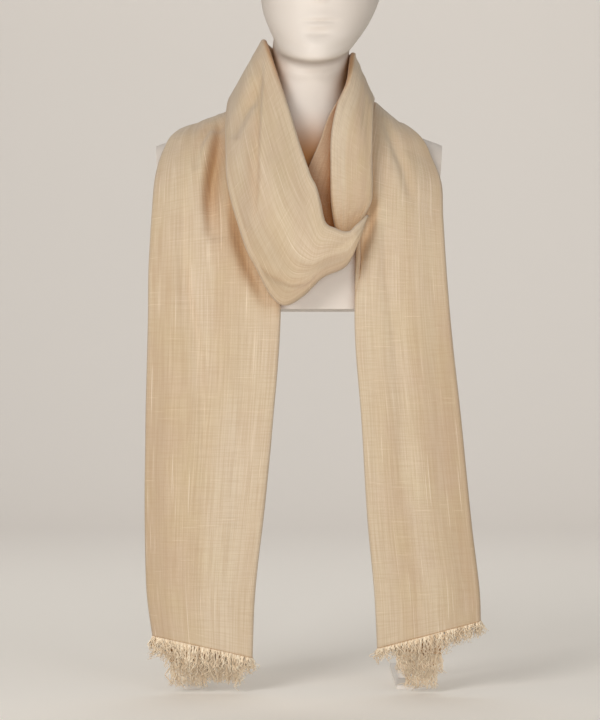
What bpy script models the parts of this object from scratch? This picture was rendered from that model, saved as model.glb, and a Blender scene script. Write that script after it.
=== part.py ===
"""Linen shawl wound once round the neck of a limbless display bust.

The shawl is one length of cloth, folded lengthwise in four and wound round the neck, so that each
stretch is a flattened hollow roll. A front loop drops over the chest, two tails hang down the front,
and the bands cross behind the neck. One layer of the wrap shows deep in the throat. Both ends are
frayed into a fringe. The bust has no limbs. It stands on two splayed posts with flat feet, each
behind one of the tails.

The tables are in millimetres: x to the viewer's right, y away from the viewer, z up from the floor.
x = 0 is the middle of the bust. At the end everything is moved so that the origin is the middle of
the part's box, at floor level, and scaled to metres.
"""

import math
from collections import namedtuple

import bmesh
import bpy
import numpy as np
from mathutils import Vector
from mathutils.bvhtree import BVHTree

METRES = 0.001  # one millimetre in Blender units

# ------------------------------------------------------------------ driving dimensions, millimetres
CLOTH_WALL = 2.6  # two layers of linen and the air between them
SEAM_GAP = 0.3  # between neighbouring pieces
REST_GAP = 3.0  # from the cloth's points to what it lies on; its flat faces come closer
RINGS_PER_ROW = 2  # along a band, for each row of its table
FACE_POINTS = 9  # across each face of a folded band
EDGE_STEPS = 3  # round each of its folded edges
SETTLE_ROUNDS = 3  # how often a band is lifted off what it lies on
NEAR = 30.0  # how far off the thing under a band is looked for
FACING = 0.5  # least share of that distance that lies straight out of the thing's surface
FOLD_FADE = 0.7  # less than 1 keeps a fold deep for more of its length
SHARP_ANGLE = math.radians(40.0)  # steeper edges are shaded sharp
SNAP = 1e-6  # metres; points closer than this are one point

BUST_BOTTOM = 498.0  # height of the bust's flat underside
BUST_POINTS = 32  # round each section of the bust
STUB_REACH = 191.0  # half the width over the flat arm ends, at the top of the shoulder
STUB_TOP = 718.0  # height of the arm end's top corner
STUB_LEAN = math.radians(5.0)  # the arm ends lean in towards their foot

POST_RADIUS = 7.0
POST_SIDES = 16
POST_TOP_X = 124.0
POST_FOOT_X = 140.0
POST_Y = 4.0
SOCKET_RADIUS = 17.0
SOCKET_HEIGHT = 8.0
FOOT_WIDTH = 24.0
FOOT_HEIGHT = 5.0
FOOT_FRONT = -64.0
FOOT_BACK = 160.0
FOOT_CORNER = 1.5

HEM_STRIP = 3.0  # height of the strip that holds the roots of a fringe
FRINGE_LENGTH = 32.0
FRINGE_FLOOR = 3.0  # no lock ends lower than this
LOCK_SWAY = 0.12  # how far the locks lean along the hem, in waves
LOCK_WAVES = 0.07  # radians of such a wave for each millimetre
LOCK_STRAY = 0.02
LOCK_SPLAY = 0.08
LOCK_SPREAD = (0.6, 1.0)  # least and most share of the splay
LOCK_LENGTHS = (0.7, 1.1)  # least and most share of FRINGE_LENGTH
HEM_LOCKS = 84  # round the hem of each tail
LEFT_LAYER_LOCKS = (26,)
RIGHT_LAYER_LOCKS = (16, 20)
LOCK_JOINTS = ((0.45, 0.75), (1.0, 0.3))  # share of the length, share of the root's width
SEED = 7

LINEN = ("linen", (0.62, 0.47, 0.30), 0.85, 0.0)
FRINGE_LINEN = ("frayed_linen", (0.56, 0.43, 0.29), 0.9, 0.0)
PLASTER = ("bust_finish", (0.74, 0.68, 0.61), 0.55, 0.0)
PAINTED = ("painted_steel", (0.74, 0.71, 0.67), 0.4, 0.0)

# --------------------------------------------------------------------------- sections of the cloth
# A band's section runs from its edge on the neck's side (in_) to its outer or lower edge (out_), and
# is thick across. Each table starts where the band's first row is and follows the cloth.
Section = namedtuple("Section", "in_x in_y in_z out_x out_y out_z thick")

LEFT_TAIL = [
    Section(-60, -101, 48, -192, -101, 77, 12),  # the hem
    Section(-57, -101, 120, -197, -101, 126, 12),
    Section(-46, -101, 225, -200, -101, 225, 11),
    Section(-34, -101, 345, -199, -101, 345, 10),
    Section(-24, -101, 480, -196, -101, 480, 10),
    Section(-24, -98, 580, -195, -97, 562, 10),
    Section(-32, -90, 655, -192, -84, 622, 10),
    Section(-50, -72, 708, -188, -62, 674, 10),
    Section(-72, -42, 744, -179, -38, 708, 9),
    Section(-90, 4, 762, -160, 2, 737, 9),  # on the shoulder's ridge
    Section(-78, 44, 772, -140, 48, 734, 9),
    Section(-56, 68, 788, -110, 84, 733, 9),
    Section(-28, 78, 805, -62, 98, 734, 9),
    Section(8, 74, 815, -4, 98, 738, 8),  # behind the neck, under the other band
]
RIGHT_STRAND = [
    Section(8, 74, 815, -4, 98, 738, 8),
    Section(42, 68, 824, 40, 90, 748, 8),
    Section(64, 46, 834, 80, 64, 762, 7),
    Section(66, 20, 842, 95, 30, 778, 7),
    Section(70, -6, 842, 99, -6, 778, 7),  # beside the neck
    Section(68, -28, 826, 97, -40, 766, 9),
    Section(62, -50, 796, 96, -68, 736, 11),
    Section(50, -68, 766, 96, -86, 706, 12),
    Section(42, -80, 727, 96, -96, 678, 12),
    Section(41, -90, 682, 96, -102, 653, 12),
    Section(42, -96, 632, 94, -103, 630, 11),
    Section(48, -98, 598, 84, -102, 598, 9),  # tucked behind the loop's lip
]
FRONT_LOOP = [
    Section(12, 92, 840, 4, 112, 760, 8),  # behind the neck, over the other band
    Section(-24, 80, 852, -42, 104, 770, 8),
    Section(-42, 48, 861, -80, 68, 780, 8),
    Section(-45, 4, 861, -92, 6, 778, 9),  # beside the neck
    Section(-39, -26, 843, -95, -48, 742, 11),
    Section(-28, -50, 809, -95, -84, 704, 12),
    Section(-13, -72, 762, -93, -112, 662, 14),
    Section(1, -92, 714, -79, -130, 607, 15),
    Section(15, -108, 672, -60, -136, 558, 15),
    Section(28, -120, 637, -13, -136, 502, 15),
    Section(34, -126, 610, 6, -138, 514, 15),  # the neckline's corner
    Section(47, -130, 601, 28, -138, 535, 15),
    Section(64, -132, 597, 60, -132, 550, 14),
    Section(78, -126, 612, 80, -124, 588, 12),
    Section(93, -114, 640, 97, -113, 626, 8),  # the lip runs out beside the strand
]
RIGHT_TAIL = [
    Section(101, -101, 60, 237, -101, 96, 13),  # the hem
    Section(98, -101, 118, 235, -101, 124, 13),
    Section(89, -101, 220, 224, -101, 220, 11),
    Section(81, -101, 350, 211, -101, 350, 10),
    Section(72, -101, 480, 197, -101, 480, 10),
    Section(74, -97, 570, 191, -96, 560, 10),
    Section(76, -88, 640, 188, -84, 618, 10),
    Section(80, -72, 700, 186, -64, 666, 10),
    Section(90, -42, 742, 171, -38, 704, 9),
    Section(98, 2, 774, 141, 2, 740, 9),  # on the shoulder's ridge
    Section(98, 46, 782, 133, 50, 738, 9),
    Section(82, 84, 800, 108, 96, 740, 9),
    Section(42, 94, 824, 66, 110, 748, 8),
    Section(12, 92, 840, 4, 112, 760, 8),
]

THROAT_LAYER = [
    Section(60, -44, 788, 80, -40, 774, 3),
    Section(39, -56, 752, 78, -54, 742, 3),
    Section(26, -64, 716, 75, -64, 710, 3),
    Section(13, -72, 686, 73, -73, 682, 3),
    Section(0, -80, 654, 71, -80, 652, 3),
    Section(-10, -88, 622, 69, -88, 620, 3),
    Section(-14, -93, 596, 67, -93, 594, 3),
]

# Inner layers of the folded tails, which hang lower than the outer ones at the hem. They are flat
# strips of doubled cloth inside the tails, one behind the other, the back one on the tail's back.
Layer = namedtuple("Layer", "top low_in low_out in_x out_x place")

LEFT_INNER = [Layer(120, 46, 40, -76, -168, 0)]
RIGHT_INNER = [Layer(120, 35, 34, 139, 178, 0), Layer(120, 54, 50, 126, 184, 1)]

# The largest folds: soft troughs across a band. along_ runs from 0 at the table's first row to 1 at
# its last, across_ from -1 at the in_ edge to 1 at the out_ edge.
Fold = namedtuple("Fold", "along_from along_to across_from across_to depth half_width")

LEFT_TAIL_FOLDS = [
    Fold(0.60, 0.88, 0.10, -0.25, 8.0, 0.18),
    Fold(0.13, 0.62, -0.30, 0.20, 4.5, 0.26),
    Fold(0.40, 0.72, -0.62, -0.78, 5.0, 0.20),
]
RIGHT_TAIL_FOLDS = [
    Fold(0.13, 0.62, -0.35, -0.30, 4.5, 0.24),
    Fold(0.50, 0.80, 0.15, -0.10, 4.0, 0.20),
]
FRONT_LOOP_FOLDS = [
    Fold(0.22, 0.55, 0.20, 0.35, 7.0, 0.20),
    Fold(0.64, 0.90, 0.62, 0.45, 6.0, 0.16),
]
STRAND_FOLDS = [Fold(0.35, 0.95, 0.10, -0.10, 4.0, 0.25)]

# ---------------------------------------------------------------------------- sections of the bust
# half_width, front and back are measured from (mid_x, mid_y); rise is how much higher the section's
# back lies than its middle, and the middle than its front; nose lifts the face's midline forwards.
BustSection = namedtuple("BustSection", "z rise mid_x mid_y half_width front back power nose")

BUST_SECTIONS = [
    BustSection(BUST_BOTTOM, 0, 0, 0, 166, 90, 88, 3.0, 0),
    BustSection(560, 0, 0, 0, 172, 92, 92, 2.9, 0),
    BustSection(620, 0, 0, 0, 188, 84, 94, 2.7, 0),
    BustSection(666, 0, 0, 2, 206, 72, 90, 2.5, 0),
    BustSection(698, 0, 1, 4, 214, 62, 82, 2.3, 0),
    BustSection(716, 1, 1, 6, 197, 56, 74, 2.2, 0),
    BustSection(729, 3, 2, 7, 164, 52, 68, 2.1, 0),
    BustSection(741, 6, 4, 8, 127, 50, 62, 2.0, 0),
    BustSection(753, 9, 6, 8, 94, 49, 56, 2.0, 0),
    BustSection(774, 12, 9, 6, 67, 48, 52, 2.0, 0),
    BustSection(804, 18, 12, 3, 54, 47, 50, 2.0, 0),
    BustSection(834, 28, 15, 0, 52, 47, 50, 2.0, 0),
    BustSection(853, 31, 17, -3, 52, 54, 51, 2.0, 0),
    BustSection(864, 45, 21, -8, 55, 92, 58, 2.0, 0),
    BustSection(877, 40, 24, -12, 64, 94, 70, 2.0, 1),
    BustSection(895, 36, 26, -12, 73, 93, 84, 2.1, 1),
    BustSection(914, 31, 28, -12, 79, 93, 95, 2.1, 4),
    BustSection(934, 25, 28, -12, 82, 93, 102, 2.1, 16),
    BustSection(962, 14, 28, -12, 83, 95, 106, 2.1, 8),
    BustSection(992, 6, 28, -12, 82, 94, 104, 2.1, 0),
    BustSection(1020, 2, 28, -10, 72, 82, 92, 2.0, 0),
    BustSection(1040, 0, 28, -8, 54, 62, 69, 2.0, 0),
    BustSection(1052, 0, 28, -6, 31, 36, 39, 2.0, 0),
]
CROWN = (28, -6, 1057)


# ------------------------------------------------------------------------------------------ helpers
def clear_scene():
    for obj in list(bpy.data.objects):
        bpy.data.objects.remove(obj)


def material(recipe):
    name, colour, roughness, metallic = recipe
    made = bpy.data.materials.get(name)
    if made is None:
        made = bpy.data.materials.new(name)
        made.use_nodes = True
        made.diffuse_color = (*colour, 1.0)
        shader = made.node_tree.nodes["Principled BSDF"]
        shader.inputs["Base Color"].default_value = (*colour, 1.0)
        shader.inputs["Roughness"].default_value = roughness
        shader.inputs["Metallic"].default_value = metallic
    return made


def add_object(name, mesh, recipe):
    """An object with its normals facing out and smooth shading."""
    bmesh.ops.recalc_face_normals(mesh, faces=mesh.faces)
    data = bpy.data.meshes.new(name)
    mesh.to_mesh(data)
    mesh.free()
    data.shade_smooth()
    data.set_sharp_from_angle(angle=SHARP_ANGLE)
    data.materials.append(material(recipe))
    obj = bpy.data.objects.new(name, data)
    bpy.context.scene.collection.objects.link(obj)
    return obj


def smooth_table(table):
    """RINGS_PER_ROW rings for each row of the table, on a smooth curve through its rows, and how far
    along the band each one is, from 0 to 1."""
    rows = np.array(table, float)
    middle = (rows[:, 0:3] + rows[:, 3:6]) / 2
    steps = np.linalg.norm(np.diff(middle, axis=0), axis=1)
    knots = np.concatenate([[0], np.cumsum(steps)])
    slopes = np.gradient(rows, knots, axis=0)
    made, along = [], []
    for i, span in enumerate(steps):
        for t in np.arange(RINGS_PER_ROW) / RINGS_PER_ROW:
            made.append(
                (2 * t**3 - 3 * t**2 + 1) * rows[i]
                + (t**3 - 2 * t**2 + t) * span * slopes[i]
                + (3 * t**2 - 2 * t**3) * rows[i + 1]
                + (t**3 - t**2) * span * slopes[i + 1]
            )
            along.append((knots[i] + t * span) / knots[-1])
    return np.array(made + [rows[-1]]), np.array(along + [1.0])


def unit(vector):
    return vector / np.linalg.norm(vector)


def signed_power(value, power):
    return math.copysign(abs(value) ** power, value)


def fade(t):
    """0 at both ends of 0..1 and 1 in the middle."""
    return math.sin(math.pi * min(max(t, 0.0), 1.0)) ** FOLD_FADE


def trough(folds, along, across):
    """How far the outer face is pressed in at this place."""
    pressed = 0.0
    for fold in folds:
        t = (along - fold.along_from) / (fold.along_to - fold.along_from)
        if 0 < t < 1:
            middle = fold.across_from + t * (fold.across_to - fold.across_from)
            pressed += fold.depth * fade(t) * math.exp(-(((across - middle) / fold.half_width) ** 2))
    return pressed


def stadium(half_width, half_thick):
    """(across, height, side) of each point of a flat section with round edges, as three arrays.
    The points go round from the out_ edge over the outer face."""
    half_flat = half_width - half_thick
    points = []
    for face in (1, -1):
        middle_angle = 0.0 if face > 0 else math.pi
        for k in range(EDGE_STEPS):
            angle = middle_angle - math.pi / 2 + math.pi * k / EDGE_STEPS
            points.append((face * half_flat + half_thick * math.cos(angle),
                           half_thick * math.sin(angle)))
        for k in range(FACE_POINTS - 1):
            points.append((face * half_flat * (1 - 2 * k / (FACE_POINTS - 1)), face * half_thick))
    across, height = np.array(points).T
    return across, height, across / half_width


def ring_partner(count):
    """The point straight across the band from each point of a section."""
    return [(EDGE_STEPS - k) % count for k in range(count)]


def skin_tree(skin):
    """A search tree of a band's outer skin, with its faces pointing out."""
    rings, count = skin.shape[0:2]
    points = [Vector(p) for p in skin.reshape(-1, 3)]
    faces = []
    for i in range(rings - 1):
        for k in range(count):
            n = (k + 1) % count
            faces.append((i * count + k, i * count + n, (i + 1) * count + n, (i + 1) * count + k))
    first = [points[k] for k in faces[0]]
    normal = (first[1] - first[0]).cross(first[3] - first[0])
    if normal.dot(first[0] - Vector(skin[0].mean(axis=0))) < 0:
        faces = [face[::-1] for face in faces]
    return BVHTree.FromPolygons(points, faces)


def lift(skin, lower):
    """How far each point of a skin has to move to lie clear of what is under it. Both faces of the
    band move together, so that it keeps its thickness."""
    rings, count = skin.shape[0:2]
    partner = ring_partner(count)
    moved = skin.copy()
    for _ in range(SETTLE_ROUNDS):
        push = np.zeros_like(skin)
        for i in range(rings):
            for k in range(count):
                point = Vector(moved[i, k])
                for tree in lower:
                    place, normal, _, _ = tree.find_nearest(point, NEAR)
                    if place is None:
                        continue
                    height = (point - place).dot(normal)
                    if height < REST_GAP and abs(height) >= FACING * (point - place).length:
                        push[i, k] += np.array(normal) * (REST_GAP - height)
        other = push[:, partner]
        longer = np.linalg.norm(other, axis=2) > np.linalg.norm(push, axis=2)
        moved += np.where(longer[:, :, None], other, push)
    return moved - skin


def band_skins(table, folds, outwards, lower, insets=(0.0, CLOTH_WALL)):
    """A skin for each inset from a band's surface: a point for each ring and each place round it."""
    rows, along = smooth_table(table)
    middle = (rows[:, 0:3] + rows[:, 3:6]) / 2
    ahead = np.gradient(middle, axis=0)
    skins = [[] for _ in insets]
    for i, row in enumerate(rows):
        across = (row[3:6] - row[0:3]) / 2
        half_width = np.linalg.norm(across)
        across = across / half_width
        normal = outwards * unit(np.cross(ahead[i], across))
        for skin, inset in zip(skins, insets):
            x, height, side = stadium(half_width - inset, row[6] / 2 - inset)
            pressed = np.array([trough(folds, along[i], s) for s in side])
            skin.append(middle[i] + np.outer(x, across) + np.outer(height - pressed, normal))
    skins = [np.array(skin) for skin in skins]
    lifted = lift(skins[0], lower)
    return [skin + lifted for skin in skins]


def ring_faces(mesh, first, second):
    """Quads between two rings of vertices."""
    count = len(first)
    for k in range(count):
        n = (k + 1) % count
        mesh.faces.new((first[k], first[n], second[n], second[k]))


def cloth_band(name, table, folds, outwards, lower, start=None):
    """One stretch of the shawl, folded flat and hollow between its faces, open at both ends.
    start is the last section of the stretch that it goes on from. Returns its two skins."""
    outer, inner = band_skins(table, folds, outwards, lower)
    if start is not None:
        outer[0], inner[0] = start
    made = []
    for skin in (outer, inner):
        trimmed = skin.copy()
        for end, neighbour in ((0, 1), (-1, -2)):
            towards = skin[neighbour].mean(axis=0) - skin[end].mean(axis=0)
            trimmed[end] = skin[end] + unit(towards) * SEAM_GAP / 2
        made.append(trimmed)
    mesh = bmesh.new()
    rings = [[[mesh.verts.new(p * METRES) for p in ring] for ring in skin] for skin in made]
    for skin in rings:
        for first, second in zip(skin, skin[1:]):
            ring_faces(mesh, first, second)
    ring_faces(mesh, rings[0][0], rings[1][0])
    ring_faces(mesh, rings[0][-1], rings[1][-1])
    add_object(name, mesh, LINEN)
    return outer, inner


def cap_end(mesh, ring):
    """Closes a flat section with quads straight across it."""
    partner = ring_partner(len(ring))
    first = (EDGE_STEPS + 1) // 2
    for k in range(first, first + len(ring) // 2 - 1):
        mesh.faces.new((ring[k], ring[k + 1], ring[partner[k + 1]], ring[partner[k]]))


def thin_band(name, table, outwards, lower):
    """A stretch of cloth that lies flat, without a hollow. Returns its skin."""
    (skin,) = band_skins(table, [], outwards, lower, (0.0,))
    mesh = bmesh.new()
    rings = [[mesh.verts.new(p * METRES) for p in ring] for ring in skin]
    for first, second in zip(rings, rings[1:]):
        ring_faces(mesh, first, second)
    cap_end(mesh, rings[0])
    cap_end(mesh, rings[-1])
    add_object(name, mesh, LINEN)
    return skin


# ------------------------------------------------------------------------------------------- fringe
def even_stations(outer, inner, count):
    """count pairs of points at even steps round a band's hem, on its outer and its inner skin."""
    closed = np.vstack([outer, outer[:1]])
    closed_inner = np.vstack([inner, inner[:1]])
    at = np.concatenate([[0], np.cumsum(np.linalg.norm(np.diff(closed, axis=0), axis=1))])
    wanted = np.interp(np.linspace(0, at[-1], count, endpoint=False), at, range(len(at)))
    knots = range(len(closed))
    return [
        np.stack([np.interp(wanted, knots, points[:, k]) for k in range(3)], axis=1)
        for points in (closed, closed_inner)
    ]


def fringe(name, front, back, closed, splay, chance):
    """A strip along a hem with a three-sided lock of thread hanging from each of its cells. front
    and back are its stations; splay is how far the locks lean away from back."""
    count = len(front)
    mesh = bmesh.new()
    rows = []
    for drop in (SEAM_GAP, SEAM_GAP + HEM_STRIP):
        down = np.array([0, 0, drop])
        rows.append([[mesh.verts.new((p - down) * METRES) for p in side] for side in (front, back)])
    top, low = rows
    for k in range(count if closed else count - 1):
        n = (k + 1) % count
        mesh.faces.new((top[0][k], top[0][n], top[1][n], top[1][k]))
        mesh.faces.new((top[0][k], low[0][k], low[0][n], top[0][n]))
        mesh.faces.new((top[1][k], top[1][n], low[1][n], low[1][k]))
        mesh.faces.new((low[0][n], low[1][n], low[1][k]))
        sway = LOCK_SWAY * math.sin(front[k][0] * LOCK_WAVES) + chance.uniform(-LOCK_STRAY, LOCK_STRAY)
        aim = unit(front[k] - back[k]) * splay * chance.uniform(*LOCK_SPREAD) + np.array([sway, 0, 0])
        aim[2] = -1.0
        roots = np.array([front[k], front[n], back[k]])
        hang_lock(mesh, roots, [low[0][k], low[0][n], low[1][k]], aim, chance)
    if not closed:
        for k in (0, -1):
            mesh.faces.new((top[0][k], top[1][k], low[1][k], low[0][k]))
    add_object(name, mesh, FRINGE_LINEN)


def hang_lock(mesh, roots, root_verts, aim, chance):
    """One lock: three sides, two joints and a small flat tip."""
    middle = roots.mean(axis=0)
    start = middle - np.array([0, 0, SEAM_GAP + HEM_STRIP])
    room = start[2] - FRINGE_FLOOR * chance.uniform(1.0, 2.0)
    reach = min(FRINGE_LENGTH * chance.uniform(*LOCK_LENGTHS), room)
    before = root_verts
    for share, size in LOCK_JOINTS:
        place = start + aim * reach * share
        after = [mesh.verts.new((place + (corner - middle) * size) * METRES) for corner in roots]
        ring_faces(mesh, before, after)
        before = after
    mesh.faces.new(before)


def layer(name, fringe_name, spec, back_skin_y, locks, chance):
    """A flat strip of doubled cloth inside a tail, with its own fringe. It lies on the skin at
    back_skin_y, or on the strips that are already there."""
    back = back_skin_y - SEAM_GAP - spec.place * (CLOTH_WALL + SEAM_GAP)
    front = back - CLOTH_WALL
    mesh = bmesh.new()
    rings = []
    for height_in, height_out in ((spec.top, spec.top), (spec.low_in, spec.low_out)):
        corners = (
            (spec.in_x, front, height_in),
            (spec.out_x, front, height_out),
            (spec.out_x, back, height_out),
            (spec.in_x, back, height_in),
        )
        rings.append([mesh.verts.new(np.array(p) * METRES) for p in corners])
    ring_faces(mesh, rings[0], rings[1])
    mesh.faces.new(rings[0])
    mesh.faces.new(rings[1])
    add_object(name, mesh, LINEN)
    ends = [np.array([spec.in_x, 0, spec.low_in]), np.array([spec.out_x, 0, spec.low_out])]
    line = [ends[0] + (ends[1] - ends[0]) * k / locks for k in range(locks + 1)]
    sides = [np.array([p + np.array([0, y, 0]) for p in line]) for y in (front, back)]
    fringe(fringe_name, *sides, False, 0.0, chance)


# --------------------------------------------------------------------------------------------- bust
def bust_ring(section):
    """One section of the bust, or of the head, as points."""
    ring = []
    for k in range(BUST_POINTS):
        angle = 2 * math.pi * k / BUST_POINTS
        side = signed_power(math.cos(angle), 2 / section.power)
        depth = signed_power(math.sin(angle), 2 / section.power)
        reach = section.back if depth > 0 else section.front
        nose = section.nose if k == BUST_POINTS * 3 // 4 else 0
        ring.append(
            (
                section.mid_x + side * section.half_width,
                section.mid_y + depth * reach - nose,
                section.z + section.rise * depth,
            )
        )
    return np.array(ring)


def bust():
    """Head, neck and shoulders in one, cut flat at the arms and at the bottom."""
    mesh = bmesh.new()
    rings = [[mesh.verts.new(p * METRES) for p in bust_ring(s)] for s in BUST_SECTIONS]
    for first, second in zip(rings, rings[1:]):
        ring_faces(mesh, first, second)
    mesh.faces.new(rings[0])
    crown = mesh.verts.new(np.array(CROWN) * METRES)
    for k in range(BUST_POINTS):
        mesh.faces.new((rings[-1][k], rings[-1][(k + 1) % BUST_POINTS], crown))
    for side in (-1, 1):
        cut = bmesh.ops.bisect_plane(
            mesh,
            geom=mesh.verts[:] + mesh.edges[:] + mesh.faces[:],
            dist=SNAP,
            plane_co=(side * STUB_REACH * METRES, 0, STUB_TOP * METRES),
            plane_no=(side * math.cos(STUB_LEAN), 0, -math.sin(STUB_LEAN)),
            clear_outer=True,
        )
        rim = [e for e in cut["geom_cut"] if isinstance(e, bmesh.types.BMEdge)]
        bmesh.ops.edgeloop_fill(mesh, edges=rim)
    bmesh.ops.triangulate(mesh, faces=[f for f in mesh.faces if len(f.verts) > 4])
    bmesh.ops.recalc_face_normals(mesh, faces=mesh.faces)
    mesh.verts.index_update()
    tree = BVHTree.FromPolygons(
        [v.co / METRES for v in mesh.verts], [[v.index for v in f.verts] for f in mesh.faces]
    )
    add_object("bust", mesh, PLASTER)
    return tree


# -------------------------------------------------------------------------------------------- stand
def rod(name, low, high, radius, sides):
    """A round bar between two points, with level ends."""
    mesh = bmesh.new()
    rings = []
    for centre in (low, high):
        rings.append(
            [
                mesh.verts.new(
                    (
                        (centre[0] + radius * math.cos(2 * math.pi * k / sides)) * METRES,
                        (centre[1] + radius * math.sin(2 * math.pi * k / sides)) * METRES,
                        centre[2] * METRES,
                    )
                )
                for k in range(sides)
            ]
        )
    ring_faces(mesh, rings[0], rings[1])
    mesh.faces.new(rings[0])
    mesh.faces.new(rings[1])
    return add_object(name, mesh, PAINTED)


def foot(name, x):
    """A flat bar that lies on the floor from front to back, with rounded upper edges."""
    mesh = bmesh.new()
    bmesh.ops.create_cube(mesh, size=1.0)
    size = (FOOT_WIDTH, FOOT_BACK - FOOT_FRONT, FOOT_HEIGHT)
    place = (x, (FOOT_FRONT + FOOT_BACK) / 2, FOOT_HEIGHT / 2)
    for vert in mesh.verts:
        vert.co = [(place[k] + vert.co[k] * size[k]) * METRES for k in range(3)]
    edges = [e for e in mesh.edges if any(v.co.z > SNAP for v in e.verts)]
    bmesh.ops.bevel(mesh, geom=edges, offset=FOOT_CORNER * METRES, segments=2, profile=0.5,
                    affect="EDGES")
    return add_object(name, mesh, PAINTED)


def stand():
    for side, word in ((-1, "left"), (1, "right")):
        top = (side * POST_TOP_X, POST_Y)
        low = (side * POST_FOOT_X, POST_Y)
        under_bust = BUST_BOTTOM - SEAM_GAP
        under_socket = under_bust - SOCKET_HEIGHT
        rod(f"{word}_socket", (*top, under_socket), (*top, under_bust), SOCKET_RADIUS, POST_SIDES)
        rod(
            f"{word}_post",
            (*low, FOOT_HEIGHT + SEAM_GAP),
            (*top, under_socket - SEAM_GAP),
            POST_RADIUS,
            POST_SIDES,
        )
        foot(f"{word}_foot", side * POST_FOOT_X)


# -------------------------------------------------------------------------------------------- shawl
def hem_fringe(name, skins, chance):
    outer, inner = skins
    fringe(name, *even_stations(outer[0], inner[0], HEM_LOCKS), True, LOCK_SPLAY, chance)


def shawl(bust_tree):
    """The stretches in the order in which they lie on each other, from the neck outwards."""
    chance = np.random.default_rng(SEED)
    lower = [bust_tree]
    left = cloth_band("left_tail", LEFT_TAIL, LEFT_TAIL_FOLDS, 1, lower)
    end = (left[0][-1], left[1][-1])
    lower.append(skin_tree(thin_band("throat_layer", THROAT_LAYER, 1, lower)))
    strand = cloth_band("right_strand", RIGHT_STRAND, STRAND_FOLDS, 1, lower, end)
    lower += [skin_tree(left[0]), skin_tree(strand[0])]
    right = cloth_band("right_tail", RIGHT_TAIL, RIGHT_TAIL_FOLDS, -1, lower)
    end = (right[0][-1], right[1][-1])
    cloth_band("front_loop", FRONT_LOOP, FRONT_LOOP_FOLDS, -1, lower, end)
    hem_fringe("left_fringe", left, chance)
    hem_fringe("right_fringe", right, chance)
    for word, skins, specs, locks in (
        ("left", left, LEFT_INNER, LEFT_LAYER_LOCKS),
        ("right", right, RIGHT_INNER, RIGHT_LAYER_LOCKS),
    ):
        inner_back = skins[1][0][:, 1].max()
        for k, spec in enumerate(specs):
            tag = chr(ord("a") + k)
            name = f"{word}_inner_{tag}"
            layer(name, f"{name}_fringe", spec, inner_back, locks[k], chance)


def move_origin():
    """Puts the origin at floor level in the middle of the box round everything."""
    points = [v.co for obj in bpy.data.objects for v in obj.data.vertices]
    for axis in (0, 1):
        values = [p[axis] for p in points]
        middle = (min(values) + max(values)) / 2
        for obj in bpy.data.objects:
            for vert in obj.data.vertices:
                vert.co[axis] -= middle


clear_scene()
stand()
shawl(bust())
move_origin()
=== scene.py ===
"""Looks of the linen shawl on its display bust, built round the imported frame.

Lengths in the tables are in millimetres in the bust's own axes: x to the viewer's right, y away from
the viewer, z up from the floor, x = 0 in the middle of the bust. place() turns them into the frame.
"""

import math
from collections import namedtuple

import bmesh
import bpy
import numpy as np
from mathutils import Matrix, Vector, noise
from mathutils.bvhtree import BVHTree


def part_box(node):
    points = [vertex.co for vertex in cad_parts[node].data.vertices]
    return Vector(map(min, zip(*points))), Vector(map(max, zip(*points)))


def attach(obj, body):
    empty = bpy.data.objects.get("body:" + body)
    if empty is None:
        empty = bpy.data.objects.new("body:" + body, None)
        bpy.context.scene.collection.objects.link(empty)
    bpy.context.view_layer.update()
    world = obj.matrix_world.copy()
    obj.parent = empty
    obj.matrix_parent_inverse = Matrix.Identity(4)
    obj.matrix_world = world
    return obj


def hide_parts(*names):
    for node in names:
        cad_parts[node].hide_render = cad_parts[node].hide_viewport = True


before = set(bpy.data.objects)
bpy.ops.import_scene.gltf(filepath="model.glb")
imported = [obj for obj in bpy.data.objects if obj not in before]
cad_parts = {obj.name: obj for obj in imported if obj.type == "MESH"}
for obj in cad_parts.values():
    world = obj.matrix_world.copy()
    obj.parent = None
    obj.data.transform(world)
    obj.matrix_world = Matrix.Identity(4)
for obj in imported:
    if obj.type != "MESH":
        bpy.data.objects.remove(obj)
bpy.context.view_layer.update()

METRES = 0.001
FOOT_MIDDLE_Y = 48.0  # the middle of a foot, in the bust's axes


def frame_shift():
    """Where the bust's axes start in the frame, in millimetres."""
    left_low, left_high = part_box("left_foot")
    right_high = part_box("right_foot")[1]
    middle_x = (left_low.x + right_high.x) / 2 / METRES
    middle_y = (left_low.y + left_high.y) / 2 / METRES
    return np.array([middle_x, middle_y - FOOT_MIDDLE_Y, 0.0])


SHIFT = frame_shift()


def place(points):
    """Points in the bust's axes, in millimetres, as the frame's metres."""
    return (np.asarray(points, float) + SHIFT) * METRES


# ------------------------------------------------------------------------------------ camera, stage
CAMERA_X = 1.34  # millimetres, in the bust's axes
CAMERA_HEIGHT = 0.4316
CAMERA_Y = -3.10
LENS = 115.4
SENSOR = 36.0
FAR = 50.0


def camera():
    """Level and in front of the bust. Its distance is assumed, and the lens fits that distance."""
    data = bpy.data.cameras.new("camera")
    data.lens = LENS
    data.sensor_width = SENSOR
    data.clip_end = FAR
    obj = bpy.data.objects.new("camera", data)
    obj.location = ((CAMERA_X + SHIFT[0]) * METRES, CAMERA_Y, CAMERA_HEIGHT)
    obj.rotation_euler = (math.pi / 2, 0, 0)
    bpy.context.scene.collection.objects.link(obj)
    bpy.context.scene.camera = obj


# ------------------------------------------------------------------------------------ node materials
PAINTED_SHADE_RAYS = 6


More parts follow.
